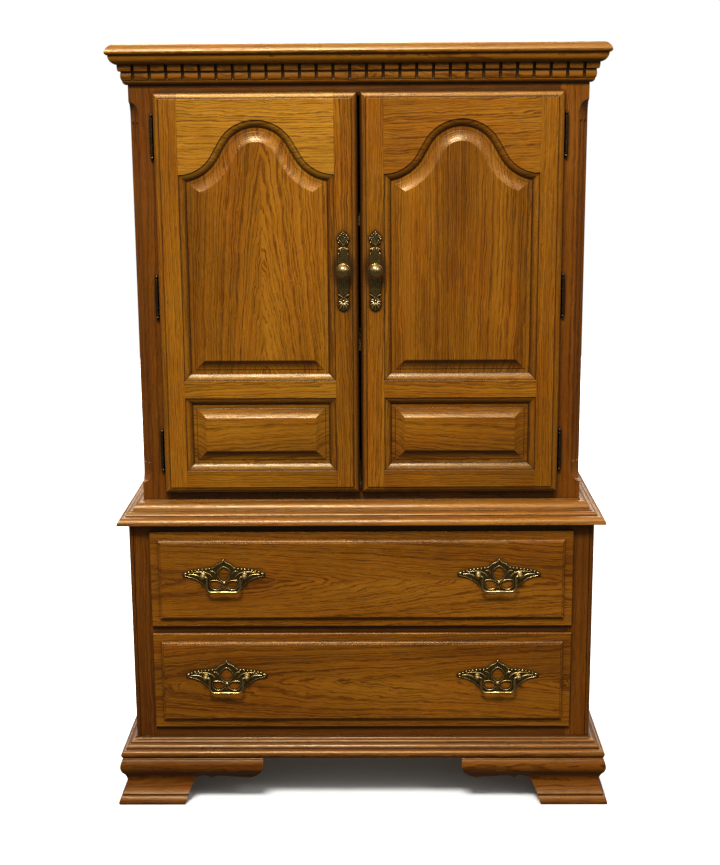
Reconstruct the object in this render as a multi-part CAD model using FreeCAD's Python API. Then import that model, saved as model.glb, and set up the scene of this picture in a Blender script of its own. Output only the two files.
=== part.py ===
"""Oak armoire: a two-door cupboard on a two-drawer base, with its doors, drawers and pulls as moving parts.

The frame is in millimetres, +Z up, with the origin on the floor under the middle of the piece, and the doors
face -Y. Each function makes one sub-part or one family of sub-parts, and save() writes each node to
parts/NODE.step.
"""

import FreeCAD
import Part

import math
import os

V = FreeCAD.Vector

# Driving dimensions: the cases
UPPER_HALF = 452.5  # half the width of the door case
SETBACK = 30.0  # of the door case from the drawer case, at the front and the sides
LOWER_HALF = UPPER_HALF + SETBACK
LOWER_DEPTH = 445.0
BOARD = 19.0  # thickness of the case boards
BACK_PLY = 6.0
POST_DEPTH = 24.0

# Driving dimensions: levels above the floor
FOOT_TOP = 102.0
BASE_TOP = 142.0
WAIST_BOTTOM = 612.0
DECK_TOP = 624.0
WAIST_TOP = 656.0
CROWN_BOTTOM = 1497.0
DENTIL_TOP = 1535.0
CROWN_BOARD_BOTTOM = 1553.0
HEIGHT = 1575.0

# Driving dimensions: how far the mouldings stand out from the faces that they are fixed to
FOOT_REACH = 37.5
WAIST_REACH = 51.0
OVOLO_REACH = 32.5
CROWN_REACH = 38.0

FRONT = FOOT_REACH - (LOWER_DEPTH + FOOT_REACH) / 2  # the drawer case's front face
BACK = FRONT + LOWER_DEPTH
UPPER_FRONT = FRONT + SETBACK

# Doors
DOOR_OUTER = 404.0  # the hinge edge's distance from the middle
DOOR_INNER = 2.0
DOOR_BOTTOM = 674.0
DOOR_TOP = 1482.0
DOOR_THICK = 19.0
DOOR_BACK = UPPER_FRONT - 2.0
DOOR_FACE = DOOR_BACK - DOOR_THICK
LIP = 8.0  # how far the doors and drawer fronts lap over their openings
DOOR_MIDDLE = -(DOOR_OUTER + DOOR_INNER) / 2
OPENING_HALF = 154.0  # half the width of the panel openings, at the face
STICKING = 15.0  # width of the moulded inner edge
STICKING_DROP = 8.6
UPPER_OPENING_BOTTOM = 909.0
ARCH_SPRING = 1323.0
ARCH_APEX = 1429.0
ARCH_RADIUS = 85.0
ARCH_SLOPE = math.radians(60)
LOWER_OPENING = (721.0, 874.0)
DOOR_EDGE = 13.0  # width of the moulded outer edge
DOOR_EDGE_DROP = 11.0
GROOVE = 8.0
TONGUE = 5.8
PLAY = 0.2

# The S of the arch: an upper arc, a straight run at ARCH_SLOPE and a lower arc that ends level at the stile
ARCH_RISE = ARCH_APEX - ARCH_SPRING
ARCH_RADII = (OPENING_HALF * math.tan(ARCH_SLOPE) - ARCH_RISE) / (1 / math.cos(ARCH_SLOPE) - 1)
SHOULDER_RADIUS = ARCH_RADII - ARCH_RADIUS

# Drawers: the outer edge of each front, with a lip over the case
DRAWER_HALF = 439.0
DRAWERS = {"lower_drawer": (164.5, 374.5), "upper_drawer": (389.5, 596.0)}
DRAWER_GAP = 0.8
DRAWER_PROUD = 14.0
DRAWER_INSET = 8.0  # how far the front reaches into its opening
DRAWER_EDGE = 23.0
DRAWER_BOX_HALF = 426.0
DRAWER_BOX_LENGTH = 410.0
DRAWER_WALL = 12.0
DRAWER_PLY = 5.0
DRAWER_FACE = FRONT - DRAWER_PROUD

# Hardware
HINGE_LEVELS = (761.0, 1079.0, 1397.0)
HINGE_X = 408.5
HINGE_Y = UPPER_FRONT - 4.2
KNUCKLE = 3.9
BARREL = 68.0
MIDDLE_KNUCKLE = 28.0
LEAF = 1.6
FRAME_LEAF_END = 397.0
DOOR_LEAF_END = 384.0
PIN = 1.6
PULL_X = 285.0
PULL_LEVELS = {"lower_drawer": 282.5, "upper_drawer": 504.5}
POST_X = 43.0
POST_OUT = 13.0  # the bail's axis in front of the drawer face
BAIL_ROD = 2.3
BAIL_DROP = 33.0
PULL_PLATE = 2.5
PLATE_DROP = 5.7  # how far the plate's outline sits below the bail's axis
KNOB_X = 32.0
KNOB_Z = 1134.0
DOOR_PLATE_Z = 1130.0
SCREW = 2.0
SHELF_LEVELS = (960.0, 1216.0)
SHELF_PIN = 2.5
PIN_ROWS = (FRONT + 105.0, BACK - 65.0)


# --------------------------------------------------------------------------------------------------
# Shapes that the sub-parts share


def save(node, *shapes):
    """Writes the solids of all these shapes as one node."""
    solids = [s for shape in shapes for s in shape.Solids]
    whole = solids[0] if len(solids) == 1 else Part.makeCompound(solids)
    whole.exportStep(os.path.join("parts", node + ".step"))


def block(x0, x1, y0, y1, z0, z1):
    return Part.makeBox(x1 - x0, y1 - y0, z1 - z0, V(x0, y0, z0))


def mirrored(shape):
    """The same piece on the other side of the armoire."""
    return shape.mirror(V(0, 0, 0), V(1, 0, 0))


def path(points, place):
    """An open wire. Each point is (a, b), reached by a line, or (a, b, rise), reached by an arc that rises
    that far to the left of its chord. place() turns (a, b) into a point in space."""
    edges = []
    for start, end in zip(points, points[1:]):
        a, b = place(*start[:2]), place(*end[:2])
        if len(end) == 3:
            dx, dy = end[0] - start[0], end[1] - start[1]
            lean = end[2] / math.hypot(dx, dy)
            middle = ((start[0] + end[0]) / 2 - dy * lean, (start[1] + end[1]) / 2 + dx * lean)
            edges.append(Part.Arc(a, place(*middle), b).toShape())
        else:
            edges.append(Part.LineSegment(a, b).toShape())
    return Part.Wire(edges)


def outline(points, place):
    """A closed wire through the points of path()."""
    return path(points + points[:1], place)


def both_sides(half):
    """The whole of a symmetrical outline, from its right half: from the top centre to the bottom centre."""
    points = list(half)
    for before, point in reversed(list(zip(half, half[1:]))):
        points.append((-before[0], before[1], *point[2:]))
    return [points.pop()] + points[1:]


def extruded(wire, along):
    return Part.Face(wire).extrude(along)


def prism_xz(points, y0, y1):
    """An outline in the front plane, from y0 to y1."""
    return extruded(outline(points, lambda x, z: V(x, y0, z)), V(0, y1 - y0, 0))


def prism_xy(points, z0, z1):
    return extruded(outline(points, lambda x, y: V(x, y, z0)), V(0, 0, z1 - z0))


def rectangle(x0, x1, z0, z1, inset, y):
    """A rectangle in the front plane, made smaller by inset on every side."""
    x0, x1 = x0 + inset, x1 - inset
    z0, z1 = z0 + inset, z1 - inset
    return outline([(x0, z0), (x1, z0), (x1, z1), (x0, z1)], lambda x, z: V(x, y, z))


def stacked(wires):
    """A solid with flat or conical walls from each wire to the next."""
    return Part.makeLoft(wires, True, True)


def rounded_edge(width, drop, fillet=1.6, first=0.0, last=90.0, steps=6):
    """(run, depth) down a moulded edge: a fillet, then a round that slopes from first to last degrees."""
    step_in = 0.4
    first, last = math.radians(first), math.radians(last)
    run_share = (width - step_in) / (math.sin(last) - math.sin(first))
    depth_share = (drop - fillet) / (math.cos(first) - math.cos(last))
    points = [(0.0, 0.0)]
    for i in range(steps + 1):
        a = first + (last - first) * i / steps
        run = step_in + run_share * (math.sin(a) - math.sin(first))
        points.append((run, fillet + depth_share * (math.cos(first) - math.cos(a))))
    return points


def mitred(section, half, front, back):
    """A moulding round the front and both sides of a case, as three lengths mitred at the front corners. The
    section's points are (distance out from the face, height)."""
    out = max(p[0] for p in section) + 5
    deep = 60.0
    far, ahead = half + out, front - out
    face_run = extruded(outline(section, lambda e, z: V(-far, front - e, z)), V(2 * far, 0, 0))
    side_run = extruded(outline(section, lambda e, z: V(-half - e, ahead, z)), V(0, back - ahead, 0))
    low = min(p[1] for p in section) - 1
    high = max(p[1] for p in section) + 1
    face_plan = [(-far, ahead), (far, ahead), (half - deep, front + deep), (deep - half, front + deep)]
    side_plan = [(-far, ahead), (deep - half, front + deep), (deep - half, back), (-far, back)]
    face = face_run.common(prism_xy(face_plan, low, high))
    side = side_run.common(prism_xy(side_plan, low, high))
    return face, side, mirrored(side)


def turned(profile, x, y, z, axis):
    """A turned piece. Its profile's points are (distance along axis, radius), from one end to the other."""
    side = V(0, 0, 1) if abs(axis.z) < 0.5 else V(1, 0, 0)
    centre = V(x, y, z)
    wire = outline(profile, lambda t, r: centre + axis * t + side * r)
    piece = Part.Face(wire).revolve(centre, axis, 360).Solids[0]
    return piece if piece.Volume > 0 else piece.reversed()


def dome_rise(high, radius):
    """The rise of the arc that closes a turned piece on its axis, as part of a ball."""
    ball = (high**2 + radius**2) / (2 * high)
    return ball - math.sqrt(ball**2 - (high**2 + radius**2) / 4)


# --------------------------------------------------------------------------------------------------
# The drawer case


def lower_case():
    sides_front = FRONT + BOARD
    opening = DRAWER_HALF - LIP
    inside = LOWER_HALF - BOARD

    side = block(-LOWER_HALF, -inside, sides_front, BACK, FOOT_TOP, WAIST_BOTTOM)
    save("lower_sides", side, mirrored(side))

    # The corner of each stile is a bead with a quirk behind it
    bead, quirk = 9.0, 1.6
    plan = [
        (-LOWER_HALF, FRONT + BOARD),
        (-LOWER_HALF, FRONT + bead),
        (-LOWER_HALF + bead, FRONT, -bead * 0.29),
        (-LOWER_HALF + bead + 0.3, FRONT + quirk),
        (-LOWER_HALF + bead + quirk, FRONT + quirk),
        (-LOWER_HALF + bead + quirk + 0.3, FRONT),
        (-opening, FRONT),
        (-opening, FRONT + BOARD),
    ]
    stile = prism_xy(plan, FOOT_TOP, WAIST_BOTTOM)
    save("lower_stiles", stile, mirrored(stile))

    low, high = DRAWERS["lower_drawer"], DRAWERS["upper_drawer"]
    levels = [(FOOT_TOP, low[0] + LIP), (low[1] - LIP, high[0] + LIP), (high[1] - LIP, WAIST_BOTTOM)]
    save("lower_face_rails", *[block(-opening, opening, FRONT, FRONT + BOARD, *level) for level in levels])

    inner_back = BACK - BACK_PLY
    floor_bottom, floor_top, back_gap = FOOT_TOP + 12, FOOT_TOP + 24, 8.0
    save("lower_case_floor", block(-inside, inside, sides_front, inner_back, floor_bottom, floor_top))
    save("lower_back_panel", block(-inside, inside, inner_back, BACK, FOOT_TOP + back_gap, WAIST_BOTTOM))
    save("lower_case_top", block(-LOWER_HALF, LOWER_HALF, FRONT, BACK, WAIST_BOTTOM, DECK_TOP))

    # Each drawer slides on a flat runner at each side, between two guides
    runners = []
    reach, runner_thick, guide_high = 22.0, 14.0, 24.0
    for bottom, _ in DRAWERS.values():
        shelf = bottom + LIP
        runner = block(-inside, reach - opening, sides_front, inner_back, shelf - runner_thick, shelf)
        guide = block(-inside, -opening, sides_front, inner_back, shelf, shelf + guide_high)
        runners += [runner, guide, mirrored(runner), mirrored(guide)]
    save("drawer_runners", *runners)


def base_moulding():
    section = [
        (0, FOOT_TOP),
        (25, FOOT_TOP),
        (23, FOOT_TOP + 17, -6.0),
        (20, FOOT_TOP + 17.5),
        (13, FOOT_TOP + 27, -1.8),
        (11, FOOT_TOP + 28),
        (7, FOOT_TOP + 33.5, -1.4),
        (5, FOOT_TOP + 34),
        (1.5, BASE_TOP, 1.4),
        (0, BASE_TOP),
    ]
    save("base_moulding", *mitred(section, LOWER_HALF, FRONT, BACK))


def bracket(foot, wing):
    """The outline of a bracket foot's face, as (distance from the corner, height). foot is its width on the
    floor and wing its whole length under the case."""
    rest = wing - foot
    beyond = -5.0  # past the corner, where the moulded board ends
    return [
        (beyond, 0),
        (foot, 0),
        (foot + 0.11 * rest, 45, 0.008 * rest),
        (foot + 0.25 * rest, 61, 0.030 * rest),
        (foot + 0.34 * rest, 55, 0.008 * rest),
        (foot + 0.43 * rest, 61, 0.008 * rest),
        (foot + 0.82 * rest, 55),
        (wing, 86, -0.045 * rest),
        (wing, FOOT_TOP),
        (beyond, FOOT_TOP),
    ]


def feet():
    inner = -10.0  # the boards' inner face, behind the face of the case
    section = [
        (inner, 0),
        (36, 0),
        (FOOT_REACH, 4, -0.4),
        (31.5, 16.5, -1.2),
        (29, 17.5),
        (29, 20),
        (30, 22, -0.4),
        (19.5, 47, 2.0),
        (25, 65, 1.2),
        (27.5, FOOT_TOP - 3, -6.6),
        (26, FOOT_TOP, -0.8),
        (inner, FOOT_TOP),
    ]
    face, side, _ = mitred(section, LOWER_HALF, FRONT, BACK)
    corner_x, corner_y = -LOWER_HALF - FOOT_REACH, FRONT - FOOT_REACH
    inside = -LOWER_HALF - inner
    out, through = 5.0, 60.0

    def sawn(board, shape, place, along):
        """The part of a moulded board inside a bracket's outline."""
        return board.common(extruded(outline(shape, place), along))

    def front_at(t, z):
        return V(corner_x + t, corner_y - out, z)

    def front_side_at(t, z):
        return V(corner_x - out, corner_y + t, z)

    def rear_side_at(t, z):
        return V(corner_x - out, BACK - t, z)

    def rear_at(t, z):
        return V(inside + t, BACK - BOARD, z)

    front_face = sawn(face, bracket(141.0, 309.0), front_at, V(0, through, 0))
    front_side = sawn(side, bracket(108.0, 205.0), front_side_at, V(through, 0, 0))
    rear_side = sawn(side, bracket(108.0, 205.0), rear_side_at, V(through, 0, 0))
    rear_plank = block(inside, 0, BACK - BOARD, BACK, 0, FOOT_TOP)
    rear_board = sawn(rear_plank, bracket(70.0, 150.0), rear_at, V(0, BOARD, 0))

    gluing, off_floor = 40.0, 6.0
    block_end, front_inner, rear_inner = inside + gluing, FRONT - inner, BACK - BOARD
    front_block = block(inside, block_end, front_inner, front_inner + gluing, off_floor, FOOT_TOP)
    rear_block = block(inside, block_end, rear_inner - gluing, rear_inner, off_floor, FOOT_TOP)

    front_foot = [front_face, front_side, front_block]
    rear_foot = [rear_board, rear_side, rear_block]
    save("front_left_foot", *front_foot)
    save("front_right_foot", *[mirrored(s) for s in front_foot])
    save("rear_feet", *rear_foot, *[mirrored(s) for s in rear_foot])


def waist_moulding():
    """The stepped moulding that covers the joint between the cases, rebated over the drawer case's top."""
    section = [
        (0, DECK_TOP),
        (SETBACK, DECK_TOP),
        (SETBACK, WAIST_BOTTOM),
        (WAIST_REACH - 1, WAIST_BOTTOM),
        (WAIST_REACH, WAIST_BOTTOM + 1.5, -0.3),
        (WAIST_REACH - 14, WAIST_BOTTOM + 15.5, -3.6),
        (WAIST_REACH - 16.5, WAIST_BOTTOM + 15.5),
        (WAIST_REACH - 17, WAIST_BOTTOM + 18.5),
        (WAIST_REACH - 26.5, WAIST_BOTTOM + 23.5, -1.4),
        (WAIST_REACH - 27, WAIST_BOTTOM + 26),
        (WAIST_REACH - 30, WAIST_BOTTOM + 26.5),
        (4.5, WAIST_TOP - 3, -3.4),
        (2.5, WAIST_TOP - 3),
        (1.5, WAIST_TOP),
        (0, WAIST_TOP),
    ]
    save("waist_moulding", *mitred(section, UPPER_HALF, UPPER_FRONT, BACK))


# --------------------------------------------------------------------------------------------------
# The door case


def scooped_chamfer(width, low, high, scoop):
    """The cutter for the left post's stopped chamfer. Its width fades out at each end in an oval scoop."""
    x0, y0 = -UPPER_HALF, UPPER_FRONT
    steps, over = 6, 1.0
    ends = [(0.0, 0.02 * width)]
    ends += [(scoop * k / steps, width * math.sqrt(1 - (1 - k / steps) ** 2)) for k in range(1, steps + 1)]
    levels = [(low + z, w) for z, w in ends] + [(high - z, w) for z, w in reversed(ends)]

    def triangle(z, w):
        points = [(-over, -over), (w, -over), (w, 0), (0, w), (-over, w)]
        return outline(points, lambda a, b: V(x0 + a, y0 + b, z))

    return stacked([triangle(z, w) for z, w in levels])


def corner_posts():
    """The front posts, whose outer corners have a stopped chamfer with two stopped flutes."""
    chamfer, scoop = 20.0, 32.0
    low, high = 692.0, 1466.0
    inner = DOOR_OUTER - LIP
    post = block(-UPPER_HALF, -inner, UPPER_FRONT, UPPER_FRONT + POST_DEPTH, DECK_TOP, CROWN_BOARD_BOTTOM)
    post = post.cut(scooped_chamfer(chamfer, low, high, scoop))
    flute, sunk, from_scoop = 3.6, 2.4, 12.0  # the flutes' radius, depth and distance from the scoops
    back_off = (flute - sunk) * math.sqrt(0.5)
    for share in (0.28, 0.72):
        x = -UPPER_HALF + chamfer * share - back_off
        y = UPPER_FRONT + chamfer * (1 - share) - back_off
        start, stop = low + scoop + from_scoop, high - scoop - from_scoop
        post = post.cut(Part.makeCylinder(flute, stop - start, V(x, y, start)))
        for z in (start, stop):
            post = post.cut(Part.makeSphere(flute, V(x, y, z)))
    save("corner_posts", post, mirrored(post))


def upper_case():
    inside = UPPER_HALF - BOARD
    opening = DOOR_OUTER - LIP
    behind_rails = UPPER_FRONT + BOARD
    inner_back = BACK - BACK_PLY

    side = block(-UPPER_HALF, -inside, UPPER_FRONT + POST_DEPTH, BACK, DECK_TOP, CROWN_BOARD_BOTTOM)
    hole_pitch, holes_each_way, hole_deep = 64.0, 2, 10.0
    for level in SHELF_LEVELS:
        for step in range(-holes_each_way, holes_each_way):
            z = level - SHELF_PIN + step * hole_pitch
            for y in PIN_ROWS:
                start = V(-inside - hole_deep, y, z)
                side = side.cut(Part.makeCylinder(SHELF_PIN + 0.05, hole_deep + 2, start, V(1, 0, 0)))
    save("upper_sides", side, mirrored(side))

    bottom_rail = block(-opening, opening, UPPER_FRONT, behind_rails, DECK_TOP, DOOR_BOTTOM + LIP)
    top_rail = block(-opening, opening, UPPER_FRONT, behind_rails, DOOR_TOP - LIP, CROWN_BOARD_BOTTOM)
    save("upper_face_rails", bottom_rail, top_rail)

    def panel(z0, z1):
        """A floor or top board, notched round the posts, which are deeper than the rails."""
        board = block(-inside, inside, behind_rails, inner_back, z0, z1)
        notch = block(-inside, -opening, behind_rails, UPPER_FRONT + POST_DEPTH, z0, z1)
        return board.cut(notch).cut(mirrored(notch))

    floor_top = DOOR_BOTTOM + LIP
    save("upper_case_floor", panel(floor_top - BOARD, floor_top))
    save("upper_case_top", panel(CROWN_BOARD_BOTTOM - BOARD, CROWN_BOARD_BOTTOM))
    save("upper_back_panel", block(-inside, inside, inner_back, BACK, DECK_TOP, CROWN_BOARD_BOTTOM))

    shelf_end = inside - 1.5
    shelves = [block(-shelf_end, shelf_end, FRONT + 75, inner_back - 4, z, z + BOARD) for z in SHELF_LEVELS]
    save("adjustable_shelves", *shelves)
    pins = []
    for z in SHELF_LEVELS:
        for y in PIN_ROWS:
            pin = Part.makeCylinder(SHELF_PIN, 18, V(1 - inside - hole_deep, y, z - SHELF_PIN), V(1, 0, 0))
            pins += [pin, mirrored(pin)]
    save("shelf_pins", *pins)

    catch_proud, catch_high, rail_bottom = 1.4, 14.0, DOOR_TOP - LIP
    catch = block(-62, -22, UPPER_FRONT - catch_proud, behind_rails, rail_bottom - catch_high, rail_bottom)
    save("magnet_catches", catch, mirrored(catch))


def crown():
    edging = 60.0  # how far the moulded edge reaches in from the case's face
    nose = [
        (-edging, CROWN_BOARD_BOTTOM),
        (CROWN_REACH - 4, CROWN_BOARD_BOTTOM),
        (CROWN_REACH, CROWN_BOARD_BOTTOM + 7, -1.6),
        (CROWN_REACH - 21, HEIGHT, -4.0),
        (-edging, HEIGHT),
    ]
    edge = mitred(nose, UPPER_HALF, UPPER_FRONT, BACK)
    field_half = UPPER_HALF - edging
    field = block(-field_half, field_half, UPPER_FRONT + edging, BACK, CROWN_BOARD_BOTTOM, HEIGHT)
    board = edge[0].fuse([edge[1], edge[2], field]).removeSplitter()
    save("crown_top_board", board)

    ovolo = [
        (0, DENTIL_TOP),
        (18.5, DENTIL_TOP),
        (OVOLO_REACH, CROWN_BOARD_BOTTOM, -4.0),
        (0, CROWN_BOARD_BOTTOM),
    ]
    save("crown_ovolo_moulding", *mitred(ovolo, UPPER_HALF, UPPER_FRONT, BACK))

    strip = [
        (0, CROWN_BOTTOM),
        (3.5, CROWN_BOTTOM),
        (9.5, CROWN_BOTTOM + 8.5, -1.6),
        (10.5, CROWN_BOTTOM + 9),
        (11.5, CROWN_BOTTOM + 23, -1.2),
        (11.5, CROWN_BOTTOM + 25),
        (16, CROWN_BOTTOM + 26),
        (17.5, DENTIL_TOP - 1, -0.6),
        (17.5, DENTIL_TOP),
        (0, DENTIL_TOP),
    ]
    pitch, saw, floor = 32.6, 6.4, 6.0
    low, high = CROWN_BOTTOM + 9, DENTIL_TOP + 1

    face, side, _ = mitred(strip, UPPER_HALF, UPPER_FRONT, BACK)
    across = int(UPPER_HALF / pitch) + 1
    for k in range(across):
        x = pitch * (k + 0.5) - saw / 2
        saw_cut = block(x, x + saw, UPPER_FRONT - OVOLO_REACH, UPPER_FRONT - floor, low, high)
        face = face.cut(saw_cut).cut(mirrored(saw_cut))
    deep = int((BACK - UPPER_FRONT) / pitch)
    first = UPPER_FRONT + UPPER_HALF - pitch * (across - 0.5)
    for k in range(deep):
        y = first + pitch * k - saw / 2
        side = side.cut(block(-UPPER_HALF - OVOLO_REACH, -UPPER_HALF - floor, y, y + saw, low, high))
    save("dentil_moulding", face, side, mirrored(side))


# --------------------------------------------------------------------------------------------------
# The doors


def arch(offset, y):
    """The upper panel opening's outline, made smaller by offset: arched top, square bottom."""
    cx, slope = DOOR_MIDDLE, ARCH_SLOPE
    top_centre = ARCH_APEX - ARCH_RADIUS
    shoulder_centre = ARCH_SPRING + SHOULDER_RADIUS
    top_r, shoulder_r = ARCH_RADIUS - offset, SHOULDER_RADIUS + offset
    half, bottom = OPENING_HALF - offset, UPPER_OPENING_BOTTOM + offset
    end_angle = math.asin(offset / shoulder_r)

    def on_top(angle):
        return (top_r * math.sin(angle), top_centre + top_r * math.cos(angle))

    def on_shoulder(angle):
        return (OPENING_HALF - shoulder_r * math.sin(angle), shoulder_centre - shoulder_r * math.cos(angle))

    def at(point, side=1):
        return V(cx + side * point[0], y, point[1])

    def arc(a, middle, b, side):
        return Part.Arc(at(a, side), at(middle, side), at(b, side)).toShape()

    def run(a, b):
        return Part.LineSegment(a, b).toShape()

    end, start = on_shoulder(end_angle), on_shoulder(slope)
    between = on_shoulder((end_angle + slope) / 2)
    crest = on_top(slope)
    edges = [run(at((half, bottom), -1), at((half, bottom)))]
    edges.append(run(at((half, bottom)), at(end)))
    edges.append(arc(end, between, start, 1))
    edges.append(run(at(start), at(crest)))
    edges.append(Part.Arc(at(crest), at(on_top(0)), at(crest, -1)).toShape())
    edges.append(run(at(crest, -1), at(start, -1)))
    edges.append(arc(start, between, end, -1))
    edges.append(run(at(end, -1), at((half, bottom), -1)))
    return Part.Wire(edges)


def small_opening(offset, y):
    """The lower panel opening's outline, made smaller by offset."""
    x0, x1 = DOOR_MIDDLE - OPENING_HALF, DOOR_MIDDLE + OPENING_HALF
    return rectangle(x0, x1, *LOWER_OPENING, offset, y)


def cut_opening(slab, shape_at):
    """Cuts a panel opening with its moulded edge, the hole behind it and the groove for the panel."""
    edge = rounded_edge(STICKING, STICKING_DROP, first=8, last=46)
    slab = slab.cut(extruded(shape_at(0, DOOR_FACE - 1), V(0, 1, 0)))
    slab = slab.cut(stacked([shape_at(run, DOOR_FACE + depth) for run, depth in edge]))
    slab = slab.cut(extruded(shape_at(STICKING, DOOR_FACE + STICKING_DROP), V(0, DOOR_THICK, 0)))
    return slab.cut(extruded(shape_at(STICKING - GROOVE, DOOR_FACE + STICKING_DROP), V(0, TONGUE, 0)))


def raised_panel(shape_at):
    """A panel with a tongue for the groove and a raised field: a step, a hollow bevel and a rounded edge."""
    tongue_face = DOOR_FACE + STICKING_DROP + PLAY
    tongue_back = DOOR_FACE + STICKING_DROP + TONGUE - PLAY
    bevel_from, step = 23.0, 1.0
    rises = [(0, step), (4, 1.6), (8, 2.7), (12, 4.2), (16, 6.3), (18, 7.5), (19, 8.0), (20.5, 8.3)]
    wires = [shape_at(bevel_from + run, tongue_face - rise) for run, rise in rises]
    tongue = extruded(shape_at(STICKING - GROOVE + 1, tongue_face), V(0, tongue_back - tongue_face, 0))
    plinth = extruded(shape_at(bevel_from, tongue_face - step), V(0, step, 0))
    return tongue.fuse([plinth, stacked(wires)]).removeSplitter()


def door_frame():
    """The left door's frame as (hinge stile, lock stile, top rail, middle rail, bottom rail)."""
    edge = rounded_edge(DOOR_EDGE, DOOR_EDGE_DROP)
    bounds = (-DOOR_OUTER, -DOOR_INNER, DOOR_BOTTOM, DOOR_TOP)
    slab = stacked([rectangle(*bounds, DOOR_EDGE - run, DOOR_FACE + depth) for run, depth in edge])
    square_edge = rectangle(*bounds, 0, DOOR_FACE + DOOR_EDGE_DROP)
    slab = slab.fuse(extruded(square_edge, V(0, DOOR_THICK - DOOR_EDGE_DROP, 0))).removeSplitter()
    for shape_at in (arch, small_opening):
        slab = cut_opening(slab, shape_at)

    left, right = DOOR_MIDDLE - OPENING_HALF, DOOR_MIDDLE + OPENING_HALF
    inner_spring = ARCH_SPRING + SHOULDER_RADIUS - math.sqrt((SHOULDER_RADIUS + STICKING) ** 2 - STICKING**2)
    over = 1.0

    def rail(low, high, low_mitre, high_mitre):
        """The part of the frame between two levels, mitred through the moulded edges that it carries."""
        plan = [(left, high), (left + STICKING, high + high_mitre), (right - STICKING, high + high_mitre)]
        plan += [(right, high), (right, low)]
        plan += [(right - STICKING, low - low_mitre), (left + STICKING, low - low_mitre), (left, low)]
        return prism_xz(plan, DOOR_FACE - over, DOOR_BACK + over)

    small_low, small_high = LOWER_OPENING
    plans = [
        rail(ARCH_SPRING, DOOR_TOP + over, ARCH_SPRING - inner_spring, 0),
        rail(small_high, UPPER_OPENING_BOTTOM, STICKING, STICKING),
        rail(DOOR_BOTTOM - over, small_low, 0, STICKING),
    ]
    rails = [slab.common(plan) for plan in plans]
    stiles = slab.cut(plans[0]).cut(plans[1]).cut(plans[2]).Solids
    stiles.sort(key=lambda s: s.CenterOfMass.x)
    return [stiles[0], stiles[1], *rails]


def hinge_leaves(z):
    """(frame leaf, door leaf, pin) of the left door's hinge at this level."""
    half, knuckle_half, gap = BARREL / 2, MIDDLE_KNUCKLE / 2, 0.3
    x, y = -HINGE_X, HINGE_Y
    bore = Part.makeCylinder(PIN + 0.05, BARREL + 2, V(x, y, z - half - 1))

    def barrel(z0, z1, wider=0.0):
        return Part.makeCylinder(KNUCKLE + wider, z1 - z0, V(x, y, z0))

    below, above = z - knuckle_half - gap, z + knuckle_half + gap
    plate = block(x, -FRAME_LEAF_END, UPPER_FRONT - LEAF, UPPER_FRONT, z - half, z + half)
    frame_leaf = plate.cut(barrel(below, above, 0.5))
    frame_leaf = frame_leaf.cut(block(x - 1, x + 2, y, UPPER_FRONT + 1, below, above))
    for z0, z1 in ((z - half, below), (above, z + half)):
        frame_leaf = frame_leaf.fuse(barrel(z0, z1))
    frame_leaf = frame_leaf.cut(bore).removeSplitter()

    plate = block(x, -DOOR_LEAF_END, DOOR_BACK - LEAF, DOOR_BACK, z - half, z + half)
    for z0, z1 in ((z - half - 1, z - knuckle_half), (z + knuckle_half, z + half + 1)):
        plate = plate.cut(barrel(z0, z1, 0.5)).cut(block(x - 1, x + 2, DOOR_BACK - 4, DOOR_BACK + 1, z0, z1))
    door_leaf = plate.fuse(barrel(z - knuckle_half, z + knuckle_half)).cut(bore).removeSplitter()

    neck, tip, ball = 5.5, 11.0, 3.0
    finial = [(neck - 1, 2.2), (neck - 2.5, 2.2), (neck - 3.5, 3.6), (gap + 0.1, 3.6), (gap + 0.1, PIN)]
    rise = dome_rise(tip - neck, ball)
    profile = [(-half - tip, 0), (-half - neck, ball, rise)]
    profile += [(-half - beyond, r) for beyond, r in finial]
    profile += [(half + beyond, r) for beyond, r in reversed(finial)]
    profile += [(half + neck, ball), (half + tip, 0, rise)]
    pin = turned(profile, x, y, z, V(0, 0, 1))
    return frame_leaf, door_leaf, pin


def knob_screw_hole():
    return Part.makeCylinder(SCREW + 0.1, 40, V(-KNOB_X, DOOR_FACE - 10, KNOB_Z), V(0, 1, 0))


def door_plate():
    """The long plate behind the left door's knob: a narrow body between a lobed leaf and a fan."""
    half = [(0, 80), (5.5, 75, 0.6), (8, 71.5), (12, 66, 0.6), (8.6, 63), (9.8, 58.5, 0.5), (3.6, 53, 0.8)]
    half += [(4, 50), (11, 45.5, -0.8), (7.4, 42), (10.2, 39.5), (10.2, -39.5), (7.4, -42), (11.5, -45)]
    half += [(4, -51, -0.8), (8.5, -55.5), (11, -60, 0.5), (9.2, -63), (11, -67.5, 0.5), (6.5, -73.5, 0.5)]
    half += [(0, -79, 0.8)]
    wire = outline(both_sides(half), lambda x, z: V(-KNOB_X + x, DOOR_FACE - PULL_PLATE, DOOR_PLATE_Z + z))
    return extruded(wire, V(0, PULL_PLATE, 0)).cut(knob_screw_hole())


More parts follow.
